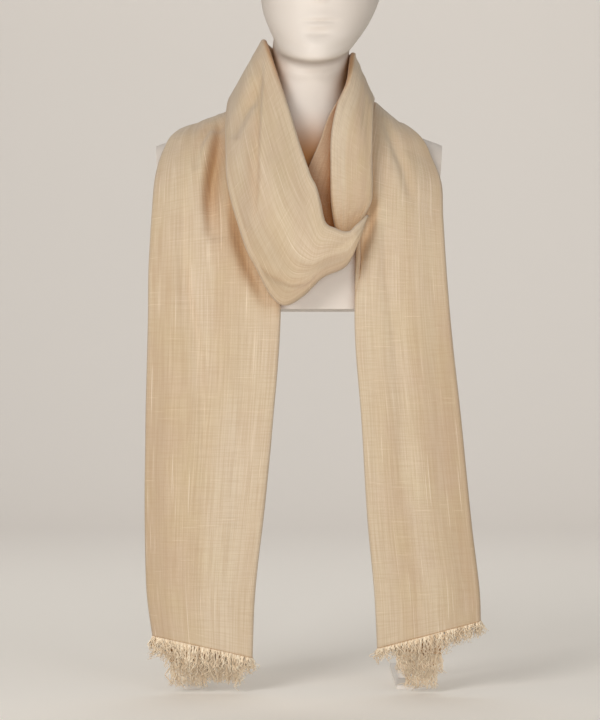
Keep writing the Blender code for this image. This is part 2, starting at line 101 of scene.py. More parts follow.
class Graph:
    """A material whose nodes are made in one line each."""

    def __init__(self, name, roughness, sheen=0.0, specular=0.5):
        self.material = bpy.data.materials.new(name)
        self.material.use_nodes = True
        self.tree = self.material.node_tree
        self.shader = self.tree.nodes["Principled BSDF"]
        self.shader.inputs["Roughness"].default_value = roughness
        self.shader.inputs["Sheen Weight"].default_value = sheen
        self.shader.inputs["Specular IOR Level"].default_value = specular

    def put(self, socket, value):
        if isinstance(value, bpy.types.NodeSocket):
            self.tree.links.new(value, socket)
        else:
            socket.default_value = value

    def node(self, kind, inputs, **options):
        made = self.tree.nodes.new(kind)
        for key, value in options.items():
            setattr(made, key, value)
        for key, value in inputs.items():
            self.put(made.inputs[key], value)
        return made

    def math(self, operation, a, b=0.0, c=0.0):
        return self.node("ShaderNodeMath", {0: a, 1: b, 2: c}, operation=operation).outputs[0]

    def vector(self, x, y, z=0.0):
        return self.node("ShaderNodeCombineXYZ", {0: x, 1: y, 2: z}).outputs[0]

    def noise(self, vector, scale, detail=2.0, roughness=0.5):
        made = self.node(
            "ShaderNodeTexNoise",
            {"Vector": vector, "Scale": scale, "Detail": detail, "Roughness": roughness},
        )
        return made.outputs[0]

    def random(self, value):
        made = self.node("ShaderNodeTexWhiteNoise", {}, noise_dimensions="1D")
        self.put(made.inputs["W"], value)
        return made.outputs["Value"]

    def ramp(self, value, low, high, to_low=0.0, to_high=1.0):
        """value from low to high becomes to_low to to_high, smoothly and kept within them."""
        made = self.node(
            "ShaderNodeMapRange",
            {0: value, 1: low, 2: high, 3: to_low, 4: to_high},
            interpolation_type="SMOOTHSTEP",
        )
        return made.outputs[0]

    def mix(self, share, a, b, blend="MIX"):
        """a turned into b by share, or blended with it."""
        made = self.node("ShaderNodeMix", {}, data_type="RGBA", blend_type=blend)
        self.put(made.inputs["Factor"], share)
        for key, value in (("A", a), ("B", b)):
            socket = next(s for s in made.inputs if s.name == key and s.type == "RGBA")
            self.put(socket, value)
        return next(s for s in made.outputs if s.type == "RGBA")

    def tint(self, share, base, colour):
        """base times colour, by share."""
        return self.mix(share, base, colour, blend="MULTIPLY")

    def painted_shade_mask(self, reach, low, high):
        """How closed in the surface is by what lies within reach of it, 0 to 1: where shade is
        painted.
        """
        made = self.node("ShaderNodeAmbientOcclusion", {"Distance": reach}, samples=PAINTED_SHADE_RAYS)
        return self.ramp(made.outputs["AO"], high, low)

    def colour(self, value):
        self.put(self.shader.inputs["Base Color"], value)

    def bump(self, height, strength, distance):
        made = self.node(
            "ShaderNodeBump", {"Strength": strength, "Distance": distance, "Height": height}
        )
        self.put(self.shader.inputs["Normal"], made.outputs[0])


def rgb(red, green, blue):
    """A linear colour from the 0 to 255 numbers that a screen shows."""
    return (*(((c / 255 + 0.055) / 1.055) ** 2.4 for c in (red, green, blue)), 1.0)


WEAVE_MAP = "weave"
YARN_MAP = "yarn"
THREAD_PITCH = 0.00115  # metres over two threads of the weave
SLUB = rgb(238, 220, 192)
THICK_SLUB = rgb(244, 230, 208)


def linen(name, painted_shade):
    """Plain woven linen with thicker, paler threads along and across it. The map named weave holds
    the flat cloth: across it, then along it, in metres. Its second argument is the painted shade's
    tint."""
    g = Graph(name, roughness=0.9, sheen=0.25, specular=0.2)
    uv = g.node("ShaderNodeUVMap", {}, uv_map=WEAVE_MAP).outputs[0]
    split = g.node("ShaderNodeSeparateXYZ", {0: uv})
    across, along = split.outputs[0], split.outputs[1]

    def threads(over, run, pitch, length, low, high, keep, seed):
        """Pale slubs: one thread in each pitch of over, thick only for part of its run."""
        cell = g.math("FLOOR", g.math("DIVIDE", over, pitch))
        chance = g.random(g.math("ADD", cell, seed))
        offset = g.math("MULTIPLY", chance, 37.0)
        run_share = g.math("ADD", g.math("DIVIDE", run, length), offset)
        thick = g.ramp(g.noise(g.vector(run_share, offset), 1.0, 1.0), low, high)
        some = g.math("GREATER_THAN", g.random(g.math("ADD", cell, seed + 0.5)), keep)
        inside = g.math("FRACT", g.math("DIVIDE", over, pitch))
        profile = g.ramp(g.math("ABSOLUTE", g.math("SUBTRACT", inside, 0.5)), 0.5, 0.12)
        return g.math("MULTIPLY", g.math("MULTIPLY", thick, some), profile)

    def drawn(per_metre_across, per_metre_along, detail=1.0):
        """Noise that is drawn out along or across the cloth."""
        x = g.math("MULTIPLY", across, per_metre_across)
        y = g.math("MULTIPLY", along, per_metre_along)
        return g.noise(g.vector(x, y), 1.0, detail)

    slub_along = threads(across, along, 0.0016, 0.110, 0.60, 0.74, 0.45, 11.0)
    slub_fine = threads(across, along, 0.0013, 0.090, 0.50, 0.74, 0.30, 53.0)
    slub_across = threads(along, across, 0.0015, 0.040, 0.62, 0.74, 0.55, 91.0)

    warp = drawn(560.0, 12.0)
    weft = drawn(30.0, 560.0)
    bands = drawn(120.0, 3.0, 2.0)
    pale = drawn(15.0, 1.5)
    mottle = drawn(20.0, 14.0, 2.0)

    base = g.mix(g.ramp(mottle, 0.3, 0.7), rgb(193, 171, 145), rgb(194, 174, 143))
    # Painted light and shade: halfway round is the edge on the neck's side, painted paler than the
    # rest, and the cloth towards the other edge is painted a little darker.
    inward = g.math("ABSOLUTE", g.math("SUBTRACT", across, AROUND / 2))
    inner = g.ramp(inward, 0.22 * AROUND, 0.05 * AROUND, 0.0, 0.6)
    outer = g.ramp(inward, 0.27 * AROUND, 0.44 * AROUND)
    base = g.mix(inner, base, rgb(203, 187, 164))
    base = g.tint(outer, base, rgb(241, 238, 237))
    for share, colour in (
        (g.ramp(bands, 0.3, 0.7, 0.0, 0.08), rgb(210, 194, 172)),
        (g.ramp(pale, 0.42, 0.60, 0.0, 0.30), rgb(216, 204, 183)),
        (g.ramp(warp, 0.35, 0.68, 0.0, 0.30), rgb(168, 140, 110)),
        (g.ramp(weft, 0.38, 0.70, 0.0, 0.20), rgb(170, 142, 112)),
        (g.math("MULTIPLY", slub_fine, 0.16), SLUB),
        (g.math("MULTIPLY", slub_across, 0.20), SLUB),
        (g.math("MULTIPLY", slub_along, 0.34), THICK_SLUB),
    ):
        base = g.mix(share, base, colour)
    # Painted shade: the cloth is tinted darker and warmer where it is closed in.
    g.colour(g.tint(g.painted_shade_mask(0.06, 0.25, 0.95), base, painted_shade))

    wave_across = g.math("SINE", g.math("MULTIPLY", across, 2 * math.pi / THREAD_PITCH))
    wave_along = g.math("SINE", g.math("MULTIPLY", along, 2 * math.pi / THREAD_PITCH))
    heights = g.math("MULTIPLY", g.math("MULTIPLY", wave_across, wave_along), 0.25)
    for part, share in ((warp, -0.7), (weft, -0.5), (slub_along, 0.8), (slub_across, 0.5)):
        heights = g.math("ADD", heights, g.math("MULTIPLY", part, share))
    g.bump(heights, 0.5, 0.0004)
    return g.material


def frayed():
    """Loose yarn. The map named yarn holds each yarn's own shade, then how far down it is."""
    g = Graph("frayed_yarn", roughness=0.85, sheen=0.2, specular=0.2)
    uv = g.node("ShaderNodeUVMap", {}, uv_map=YARN_MAP).outputs[0]
    split = g.node("ShaderNodeSeparateXYZ", {0: uv})
    shade, down = split.outputs[0], split.outputs[1]
    spot = g.vector(g.math("MULTIPLY", shade, 90.0), g.math("MULTIPLY", down, 14.0))
    fibre = g.noise(spot, 1.0, 2.0)
    base = g.mix(shade, rgb(208, 178, 140), rgb(255, 244, 222))
    base = g.mix(g.ramp(fibre, 0.4, 0.7, 0.0, 0.4), base, rgb(246, 230, 206))
    base = g.mix(g.ramp(down, 0.55, 1.0, 0.0, 0.2), base, rgb(212, 190, 160))
    g.colour(base)
    g.bump(fibre, 0.3, 0.0003)
    return g.material


# Painted shade in the bust's colour, warm as the light that the cloth throws back in the throat. It
# goes by height and side alone, so it is on the bust's back as well, where it shows as a patch.
THROAT_PAINTED_SHADE = rgb(222, 160, 92)
THROAT_TOP = (0.772, 0.69)  # heights, in metres, over which it comes in
THROAT_FOOT = (0.57, 0.60)  # and goes out
THROAT_SIDE = (0.10, 0.07)  # how far to the side it ends


def plain(name, colour, second, roughness, grain, depth, painted_shade=None):
    """A painted or cast surface with a little unevenness in colour and height. The last argument is
    the tint of painted shade where cloth closes it in, with more painted shade deep in the throat."""
    g = Graph(name, roughness=roughness, specular=0.4)
    where = g.node("ShaderNodeTexCoord", {}).outputs["Object"]
    cloud = g.noise(where, 9.0, 3.0)
    fine = g.noise(where, grain, 3.0, 0.6)
    base = g.mix(g.ramp(cloud, 0.3, 0.7, 0.0, 1.0), colour, second)
    if painted_shade is not None:
        # Painted shade where cloth closes the bust in.
        base = g.tint(g.painted_shade_mask(0.055, 0.1, 0.55), base, painted_shade)
        # More painted shade deep in the throat, set by height and side alone.
        split = g.node("ShaderNodeSeparateXYZ", {0: where})
        side, height = g.math("ABSOLUTE", split.outputs[0]), split.outputs[2]
        throat = g.math("MULTIPLY", g.ramp(height, *THROAT_TOP), g.ramp(height, *THROAT_FOOT))
        throat = g.math("MULTIPLY", throat, g.ramp(side, *THROAT_SIDE))
        base = g.tint(throat, base, THROAT_PAINTED_SHADE)
    g.colour(base)
    g.bump(fine, 0.25, depth)
    return g.material


# -------------------------------------------------------------------------------------------- tables
# A row is one section of a band: x, y, z of its edge on the neck's side, x, y, z of its outer or
# lower edge, and its thickness. The rows follow the cloth, from the hem or from the throat's top.

LEFT_BAND = [
    (-60, -101, 45, -190, -101, 74, 12),  # the hem
    (-57, -101, 120, -197, -101, 126, 12),
    (-46, -101, 225, -200, -101, 225, 11),
    (-34, -101, 345, -199, -101, 345, 10),
    (-24, -101, 480, -196, -101, 480, 10),
    (-24, -98, 580, -195, -97, 562, 10),
    (-32, -90, 655, -192, -84, 622, 10),
    (-50, -72, 708, -188, -62, 674, 10),
    (-72, -42, 744, -179, -38, 708, 9),
    (-90, 4, 762, -160, 2, 737, 9),  # on the shoulder's ridge
    (-78, 44, 772, -140, 48, 734, 9),
    (-56, 68, 788, -110, 84, 733, 9),
    (-28, 78, 805, -62, 98, 734, 9),
    (8, 74, 815, -4, 98, 738, 8),  # behind the neck, under the other band
    (42, 68, 824, 40, 90, 748, 8),
    (64, 46, 834, 80, 64, 762, 7),
    (66, 20, 842, 95, 30, 778, 7),
    (70, -6, 842, 99, -6, 778, 7),  # beside the neck
    (68, -28, 826, 97, -40, 766, 9),
    (62, -50, 796, 96, -68, 736, 11),
    (50, -68, 766, 96, -86, 706, 12),
    (42, -80, 727, 96, -96, 678, 12),
    (41, -90, 682, 96, -102, 653, 12),
    (42, -96, 632, 93, -103, 634, 11),
    (46, -98, 606, 82, -102, 612, 9.5),
    (50, -98, 592, 74, -101, 598, 8),  # tucked behind the loop's lip
]
RIGHT_BAND = [
    (101, -101, 57, 236, -101, 93, 13),  # the hem
    (98, -101, 118, 235, -101, 124, 13),
    (89, -101, 220, 224, -101, 220, 11),
    (81, -101, 350, 211, -101, 350, 10),
    (72, -101, 480, 197, -101, 480, 10),
    (74, -97, 570, 191, -96, 560, 10),
    (76, -88, 640, 188, -84, 618, 10),
    (80, -72, 700, 186, -64, 666, 10),
    (90, -42, 742, 171, -38, 704, 9),
    (98, 2, 774, 141, 2, 740, 9),  # on the shoulder's ridge
    (98, 46, 782, 133, 50, 738, 9),
    (82, 84, 800, 108, 96, 740, 9),
    (42, 94, 824, 66, 110, 748, 8),
    (12, 92, 840, 4, 112, 760, 8),  # behind the neck, over the other band
    (-24, 80, 852, -42, 104, 770, 8),
    (-42, 48, 861, -80, 68, 780, 8),
    (-45, 4, 861, -92, 6, 778, 9),  # beside the neck
    (-39, -26, 843, -95, -48, 742, 11),
    (-28, -50, 809, -95, -84, 704, 12),
    (-13, -72, 762, -93, -112, 662, 14),
    (1, -92, 714, -79, -130, 607, 15),
    (15, -108, 672, -60, -136, 558, 15),
    (28, -120, 637, -13, -136, 502, 15),
    (34, -126, 610, 6, -138, 514, 15),  # the neckline's corner
    (47, -130, 601, 28, -138, 535, 15),
    (64, -132, 597, 62, -132, 553, 14),
    (72, -130, 604, 74, -129, 578, 11),
    (80, -125, 611, 81, -124, 598, 8),
    (86, -119, 616.5, 86, -118, 612, 4),
    (88, -114, 619, 88, -113, 617, 2.4),  # the lip ends over the strand
]

THROAT_BAND = [
    (60, -44, 788, 80, -40, 774, 3),
    (39, -56, 752, 78, -54, 742, 3),
    (26, -64, 716, 75, -64, 710, 3),
    (13, -72, 686, 73, -73, 682, 3),
    (0, -80, 654, 71, -80, 652, 3),
    (-10, -88, 622, 69, -88, 620, 3),
    (-14, -93, 596, 67, -93, 594, 3),
]

# Creases that are seen from the front or from behind: soft troughs along a line of (x, z) points.
# depth is how far the cloth sinks, less than 0 for a ridge. left and right are how wide the trough
# is on either side of the line.
Crease = namedtuple("Crease", "points depth left right")

LEFT_FRONT = [
    Crease([(-104, 756), (-110, 707), (-116, 668), (-117, 639), (-112, 585)], 17.0, 7, 16),
    Crease(
        [(-143, 717), (-147, 639), (-148, 574), (-143, 522), (-132, 471), (-124, 419), (-121, 350),
         (-119, 250)],
        5.0, 14, 4.0,
    ),
    Crease([(-150, 700), (-158, 620), (-163, 540), (-160, 460)], -2.2, 8, 14),
    Crease([(-95, 752), (-121, 738), (-132, 717), (-136, 680)], 4.5, 6, 5),
    Crease([(-87, 640), (-78, 594), (-67, 559), (-53, 529), (-40, 500)], 9.0, 9, 11),
    Crease([(-70, 500), (-74, 400), (-80, 300), (-84, 200), (-88, 110)], 1.8, 10, 14),
    Crease([(-168, 420), (-174, 300), (-172, 190), (-165, 100)], 1.6, 12, 9),
    Crease([(-128, 210), (-126, 150), (-122, 90)], 1.5, 8, 9),
]
RIGHT_FRONT = [
    Crease([(97, 650), (92, 613), (84, 587), (77, 559), (74, 520)], 9.0, 12, 9),
    Crease(
        [(101, 756), (110, 691), (114, 639), (113, 587), (114, 542), (123, 477), (131, 412),
         (134, 330), (140, 220)],
        3.0, 8, 14,
    ),
    Crease([(113, 753), (128, 711), (138, 681), (148, 635)], 5.0, 7, 7),
    Crease([(104, 500), (108, 420), (112, 330), (118, 240)], -1.3, 9, 9),
    Crease([(176, 640), (172, 540), (178, 420), (186, 300), (194, 180)], 1.8, 12, 9),
    Crease([(205, 230), (212, 160), (220, 100)], 1.5, 8, 7),
    Crease([(150, 180), (152, 130), (155, 85)], 1.3, 8, 8),
]
LOOP_FRONT = [
    Crease([(-50, 830), (-53, 786), (-53, 760), (-54, 708), (-55, 657), (-60, 600)], 8.5, 15, 3.5),
    Crease([(-55, 806), (-64, 779), (-75, 754), (-84, 720)], 7.5, 8, 8),
    Crease([(-18, 698), (-37, 674), (-57, 648)], -1.2, 5, 5),
    Crease([(4, 556), (34, 566), (55, 575), (73, 591)], 6.5, 10, 9),
    Crease([(-66, 562), (-37, 540), (-10, 528), (22, 533)], 4.5, 3.0, 7),
    Crease([(-62, 770), (-48, 695), (-22, 630), (8, 590), (42, 573)], -6.0, 26, 26),
    Crease([(-25, 770), (-10, 720), (6, 670), (18, 630)], 1.4, 7, 7),
]
STRAND_FRONT = [
    Crease([(88, 790), (90, 740), (92, 690), (88, 650)], 2.5, 8, 6),
    Crease([(95, 645), (82, 626), (70, 611), (64, 598)], 3.5, 6, 6),
    Crease([(62, 780), (60, 730), (58, 690), (62, 650)], 1.2, 8, 8),
]
LEFT_BACK = [
    Crease([(-120, 725), (-95, 745), (-60, 768), (-20, 785)], 3.0, 7, 7),
    Crease([(-140, 735), (-110, 752), (-70, 770)], 2.0, 6, 6),
]
RIGHT_BACK = [
    Crease([(115, 745), (85, 765), (50, 785), (10, 800), (-30, 815)], 3.0, 7, 7),
    Crease([(95, 760), (60, 775), (20, 778), (-20, 790)], 2.0, 6, 6),
]

# Which creases are pressed in from which side (-1 front, 1 back), from where to where along the band.
Pressing = namedtuple("Pressing", "creases facing start end")

LEFT_PRESSINGS = [
    Pressing(LEFT_FRONT, -1, 0.0, 0.6),
    Pressing(STRAND_FRONT, -1, 0.6, 1.0),
    Pressing(LEFT_BACK, 1, 0.3, 0.8),
]
RIGHT_PRESSINGS = [
    Pressing(RIGHT_FRONT, -1, 0.0, 0.5),
    Pressing(LOOP_FRONT, -1, 0.5, 1.0),
    Pressing(RIGHT_BACK, 1, 0.3, 0.8),
]

# A row is one section of the bust: z, its rise to the back and fall to the front, x and y of its
# middle, half its width, its reach to the front and to the back, and the power of its rounding.
BUST_BOTTOM = 498.0
BUST_SECTIONS = [
    (BUST_BOTTOM, 0, 0, 0, 166, 90, 88, 3.0),
    (560, 0, 0, 0, 172, 92, 92, 2.9),
    (620, 0, 0, 0, 188, 84, 94, 2.7),
    (666, 0, 0, 2, 206, 72, 90, 2.5),
    (698, 0, 1, 4, 214, 62, 82, 2.3),
    (716, 1, 1, 6, 197, 56, 74, 2.2),
    (729, 3, 2, 7, 164, 52, 68, 2.1),
    (741, 6, 4, 8, 127, 50, 62, 2.0),
    (753, 9, 6, 8, 94, 49, 56, 2.0),
    (774, 12, 9, 6, 67, 48, 52, 2.0),
    (804, 18, 12, 3, 54, 47, 50, 2.0),
    (834, 28, 15, 0, 52, 47, 50, 2.0),
    (853, 31, 17, -3, 52, 54, 51, 2.0),
    (864, 45, 21, -8, 55, 92, 58, 2.0),
    (877, 40, 24, -12, 64, 94, 70, 2.0),
    (895, 36, 26, -12, 73, 93, 84, 2.1),
    (914, 31, 28, -12, 79, 93, 95, 2.1),
    (934, 25, 28, -12, 82, 93, 102, 2.1),
    (962, 14, 28, -12, 83, 95, 106, 2.1),
    (992, 6, 28, -12, 82, 94, 104, 2.1),
    (1020, 2, 28, -10, 72, 82, 92, 2.0),
    (1040, 0, 28, -8, 54, 62, 69, 2.0),
    (1052, 0, 28, -6, 31, 36, 39, 2.0),
]
CROWN = (28, -6, 1057)
STUB_REACH = 191.0
STUB_TOP = 718.0
STUB_LEAN = math.radians(5.0)

# Soft forms of the face: how far forward, and how wide and high, round a point (x, z).
Form = namedtuple("Form", "x z forward wide high")

FACE = [
    Form(29, 906, 12.0, 8.0, 8.0),  # tip of the nose
    Form(29, 932, 8.0, 6.5, 22.0),  # its bridge
    Form(29, 877, 3.0, 17.0, 6.0),  # upper lip
    Form(27, 864.5, 3.0, 14.0, 4.2),  # lower lip
    Form(28, 870.8, -1.6, 18.0, 1.9),  # between the lips
    Form(25, 855, -2.2, 14.0, 4.5),  # under the lower lip
    Form(23, 836, 2.5, 22.0, 11.0),  # chin
]


# ------------------------------------------------------------------------------------------- helpers
def unit(vectors):
    """The vectors at length 1."""
    length = np.linalg.norm(vectors, axis=-1, keepdims=True)
    return vectors / np.maximum(length, 1e-9)


def smooth_rows(knots, rows, at):
    """The rows' smooth curve at the places at, by a cubic through each pair of rows."""
    slopes = np.gradient(rows, knots, axis=0)
    i = np.clip(np.searchsorted(knots, at, side="right") - 1, 0, len(knots) - 2)
    span = (knots[i + 1] - knots[i])[:, None]
    t = ((at - knots[i]) / (knots[i + 1] - knots[i]))[:, None]
    return (
        (2 * t**3 - 3 * t**2 + 1) * rows[i]
        + (t**3 - 2 * t**2 + t) * span * slopes[i]
        + (3 * t**2 - 2 * t**3) * rows[i + 1]
        + (t**3 - t**2) * span * slopes[i + 1]
    )


def blur(field, rounds):
    """A field over rings and places round them, smoothed: the places go round, the rings do not."""
    for _ in range(rounds):
        field = field / 2 + (np.roll(field, 1, 1) + np.roll(field, -1, 1)) / 4
        ends = np.concatenate([field[:1], field, field[-1:]])
        field = field / 2 + (ends[:-2] + ends[2:]) / 4
    return field


def grid_faces(rings, count):
    """Quads of a tube of rings, facing out, and where each corner lies: place round, ring."""
    i, k = np.meshgrid(np.arange(rings - 1), np.arange(count), indexing="ij")
    i, k = i.ravel(), k.ravel()
    n = (k + 1) % count
    faces = np.stack([i * count + k, i * count + n, (i + 1) * count + n, (i + 1) * count + k], 1)
    corners = np.stack([k, k + 1, k + 1, k], 1), np.stack([i, i, i + 1, i + 1], 1)
    return faces, corners


def search_tree(points, faces):
    """Finds the nearest place on a skin."""
    return BVHTree.FromPolygons([Vector(p) for p in points], [tuple(map(int, f)) for f in faces])


def add_mesh(name, points, faces, material, uv_name=None, uv=None):
    """A mesh piece from arrays, in the frame's metres. uv has one pair for each face corner."""
    data = bpy.data.meshes.new(name)
    faces = np.asarray(faces)
    data.vertices.add(len(points))
    data.vertices.foreach_set("co", place(points).astype(np.float32).ravel())
    data.loops.add(faces.size)
    data.loops.foreach_set("vertex_index", faces.astype(np.int32).ravel())
    data.polygons.add(len(faces))
    data.polygons.foreach_set("loop_start", np.arange(0, faces.size, faces.shape[1], dtype=np.int32))
    if uv is not None:
        layer = data.uv_layers.new(name=uv_name)
        layer.data.foreach_set("uv", np.asarray(uv, np.float32).ravel())
    data.update(calc_edges=True)
    data.validate()
    data.shade_smooth()
    data.materials.append(material)
    obj = bpy.data.objects.new(name, data)
    bpy.context.scene.collection.objects.link(obj)
    return obj


# ---------------------------------------------------------------------------------------- cloth bands
RING_STEP = 4.0  # between the rings of a band
FACE_POINTS = 46  # across each face of a folded band
EDGE_STEPS = 8  # round each of its folded edges
AROUND = 0.30  # metres round a band in the weave's map, however wide the band is there
SHELL = 0.0009  # thickness of the cloth, metres
REST_GAP = 2.6
SETTLE_ROUNDS = 4
NEAR = 30.0  # how far off the thing under a band is looked for
FACING = 0.5  # least share of that distance that lies straight out of the thing's surface
WAVE_HEIGHT = 1.5  # of the waves in a thick band
THIN_WAVES = 0.12  # the same in a thin band, as a share of its thickness
WAVE_LENGTH = 150.0
MOST_RIDGE = 6.0  # how far a ridge may rise
CREASE_FACING = (0.15, 0.4)  # least that a face looks that way, and over how much more it comes in
CREASE_ENDS = 0.6  # power of the sine that runs a crease out at its ends
CREASE_ROOM = 0.5  # share of the thickness that it sinks before it pushes the far face out too
BLUR_ROUNDS = 3  # for each push, other than the last


def stadium(half_width, half_thick):
    """(across, height) of each point of a flat section with round edges, going round it."""
    half_flat = half_width - half_thick
    points = []
    for face in (1, -1):
        middle_angle = 0.0 if face > 0 else math.pi
        for k in range(EDGE_STEPS):
            angle = middle_angle - math.pi / 2 + math.pi * k / EDGE_STEPS
            points.append(
                (face * half_flat + half_thick * math.cos(angle), half_thick * math.sin(angle))
            )
        for k in range(FACE_POINTS - 1):
            points.append((face * half_flat * (1 - 2 * k / (FACE_POINTS - 1)), face * half_thick))
    return np.array(points)


def partners(count):
    """The point straight across the band from each point of a section."""
    return (EDGE_STEPS - np.arange(count)) % count


def line_distance(points, line):
    """How far each (x, z) point is from a line, to its left less than 0, and how far along it, 0..1.
    Left is the viewer's left where the line runs down."""
    line = np.asarray(line, float)
    best = np.full(len(points), 1e9)
    signed = np.zeros(len(points))
    along = np.zeros(len(points))
    lengths = np.linalg.norm(np.diff(line, axis=0), axis=1)
    total = lengths.sum()
    done = 0.0
    for a, b, length in zip(line, line[1:], lengths):
        way = (b - a) / length
        offset = points - a
        t = np.clip(offset @ way, 0, length)
        away = offset - t[:, None] * way
        distance = np.linalg.norm(away, axis=1)
        side = np.where(offset[:, 0] * way[1] - offset[:, 1] * way[0] > 0, 1.0, -1.0)
        nearer = distance < best
        best[nearer] = distance[nearer]
        signed[nearer] = (distance * side)[nearer]
        along[nearer] = ((done + t) / total)[nearer]
        done += length
    return -signed, along


def sink(skin, normals, pressing, thick):
    """Presses creases into the faces of a stretch of a band that look towards one side."""
    creases, facing, start, end = pressing
    least, grows = CREASE_FACING
    rings, count = skin.shape[0:2]
    flat = skin[:, :, [0, 2]].reshape(-1, 2)
    shown = np.clip((normals[:, :, 1] * facing - least) / grows, 0, 1)
    depth = np.zeros((rings, count))
    for crease in creases:
        away, along = line_distance(flat, crease.points)
        width = np.where(away < 0, crease.left, crease.right)
        ends = np.clip(np.sin(np.pi * along), 0, 1) ** CREASE_ENDS
        pressed = crease.depth * ends * np.exp(-((away / width) ** 2))
        depth += pressed.reshape(rings, count)
    room = thick[:, None] * CREASE_ROOM
    share = np.linspace(0, 1, rings)[:, None]
    depth = np.maximum(depth * shown * ((share >= start) & (share <= end)), -MOST_RIDGE)
    behind = np.maximum(depth - room, 0)[:, partners(count)]
    return skin - normals * (depth - behind)[:, :, None]


def outward(skin):
    """Normals of a band's skin, pointing out of the band."""
    around = np.roll(skin, -1, 1) - np.roll(skin, 1, 1)
    along = np.gradient(skin, axis=0)
    normals = unit(np.cross(around, along))
    middle = skin.mean(axis=1, keepdims=True)
    if ((skin - middle) * normals).sum() < 0:
        normals = -normals
    return normals


def lift(skin, lower, gap=REST_GAP):
    """Moves both faces of a band off what lies under it, softly, so that it keeps its thickness."""
    rings, count = skin.shape[0:2]
    partner = partners(count)
    moved = skin.copy()
    for turn in range(SETTLE_ROUNDS):
        push = np.zeros_like(skin)
        for i in range(rings):
            for k in range(count):
                point = Vector(moved[i, k])
                for tree in lower:
                    spot, normal, _, _ = tree.find_nearest(point, NEAR)
                    if spot is None:
                        continue
                    height = (point - spot).dot(normal)
                    if height < gap and abs(height) >= FACING * (point - spot).length:
                        push[i, k] += np.array(normal) * (gap - height)
        other = push[:, partner]
        longer = np.linalg.norm(other, axis=2) > np.linalg.norm(push, axis=2)
        push = np.where(longer[:, :, None], other, push)
        if turn < SETTLE_ROUNDS - 1:
            push = blur(push, BLUR_ROUNDS)
        moved += push
    return moved


def undulate(skin, normals, seed, height):
    """Wide soft waves that run along the cloth."""
    rings, count = skin.shape[0:2]
    flow = np.zeros((rings, count))
    for i in range(rings):
        for k in range(count):
            angle = 2 * math.pi * k / count
            run = i * RING_STEP / WAVE_LENGTH
            spot = Vector((math.cos(angle) * 1.9 + seed, math.sin(angle) * 1.9, run))
            flow[i, k] = noise.noise(spot) + 0.45 * noise.noise(spot * 2.3)
    return skin + normals * (flow * height)[:, :, None]


def band(name, table, pressings, lower, seed):
    """One continuous stretch of the folded shawl: the piece, its outer skin and a search tree."""
    rows = np.array(table, float)
    middle = (rows[:, 0:3] + rows[:, 3:6]) / 2
    knots = np.concatenate([[0], np.cumsum(np.linalg.norm(np.diff(middle, axis=0), axis=1))])
    at = np.linspace(0, knots[-1], int(knots[-1] / RING_STEP) + 1)
    fine = smooth_rows(knots, rows, at)
    centre = (fine[:, 0:3] + fine[:, 3:6]) / 2
    across = (fine[:, 3:6] - fine[:, 0:3]) / 2
    half_width = np.linalg.norm(across, axis=1)
    across = unit(across)
    face = unit(np.cross(np.gradient(centre, axis=0), across))
    skin = []
    for i in range(len(at)):
        flat = stadium(half_width[i], fine[i, 6] / 2)
        skin.append(centre[i] + np.outer(flat[:, 0], across[i]) + np.outer(flat[:, 1], face[i]))
    skin = lift(np.array(skin), lower)
    normals = outward(skin)
    skin = undulate(skin, normals, seed, min(WAVE_HEIGHT, fine[:, 6].min() * THIN_WAVES))
    for pressing in pressings:
        skin = sink(skin, normals, pressing, fine[:, 6])
    rings, count = skin.shape[0:2]
    faces, (corner_k, corner_i) = grid_faces(rings, count)
    if (np.cross(skin[0, 1] - skin[0, 0], skin[1, 0] - skin[0, 0]) @ normals[0, 0]) < 0:
        faces, corner_k, corner_i = faces[:, ::-1], corner_k[:, ::-1], corner_i[:, ::-1]
    uv = np.stack([corner_k / count * AROUND, at[corner_i] * METRES], axis=-1)
    piece = add_mesh(name, skin.reshape(-1, 3), faces, LINEN, WEAVE_MAP, uv)
    shell = piece.modifiers.new("shell", "SOLIDIFY")
    shell.thickness = SHELL
    shell.offset = -1.0
    return piece, skin, search_tree(skin.reshape(-1, 3), faces)


# --------------------------------------------------------------------------------------------- yarns
YARN_SIDES = 3
YARN_STEPS = 11
YARN_GATHER = (0.25, 0.85)  # how far a yarn is drawn to its clump's tip
YARN_WAVES = ((1.6, 1.0), (3.7, 0.5))  # how many in each YARN_RUN, and their share of frizz
YARN_RUN = 30
YARN_THICKNESS = (0.7, 1.25)  # of the radius
YARN_TAPER = 0.55
YARN_LOW = 2.5  # how near the floor a yarn comes
YARN_RISE = np.array([0, 0, 0.8])  # how far inside the hem it starts


